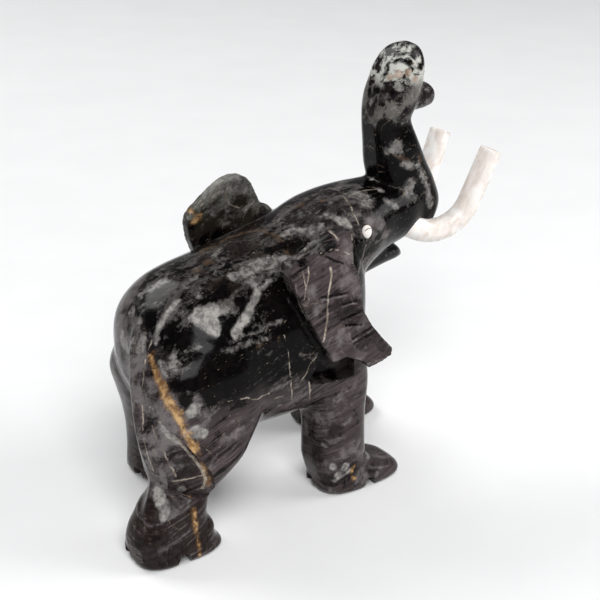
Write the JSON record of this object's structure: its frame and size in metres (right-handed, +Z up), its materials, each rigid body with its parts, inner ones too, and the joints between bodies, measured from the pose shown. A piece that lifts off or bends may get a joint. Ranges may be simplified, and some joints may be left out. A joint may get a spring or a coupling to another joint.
{
  "type": "elephant sculpture",
  "caption": "Carved walking elephant with a raised trunk, spread ears and inlaid white tusks and eyes; stands on its own feet as an ornament.",
  "frame": {"origin": "on the ground, under the middle of the whole figure's length and width", "axes": "+X towards the head, +Y to the elephant's left, +Z up from the soles"},
  "size_m": [0.194, 0.0904, 0.181],
  "materials": {
    "dark_marble": "polished",
    "white_tusk_stone": "satin",
    "white_eye_stone": "satin"
  },
  "bodies": {
    "root": {"carved_elephant": "dark_marble", "tusk_right": "white_tusk_stone", "tusk_left": "white_tusk_stone", "eye_right": "white_eye_stone", "eye_left": "white_eye_stone"}
  },
  "joints": []
}
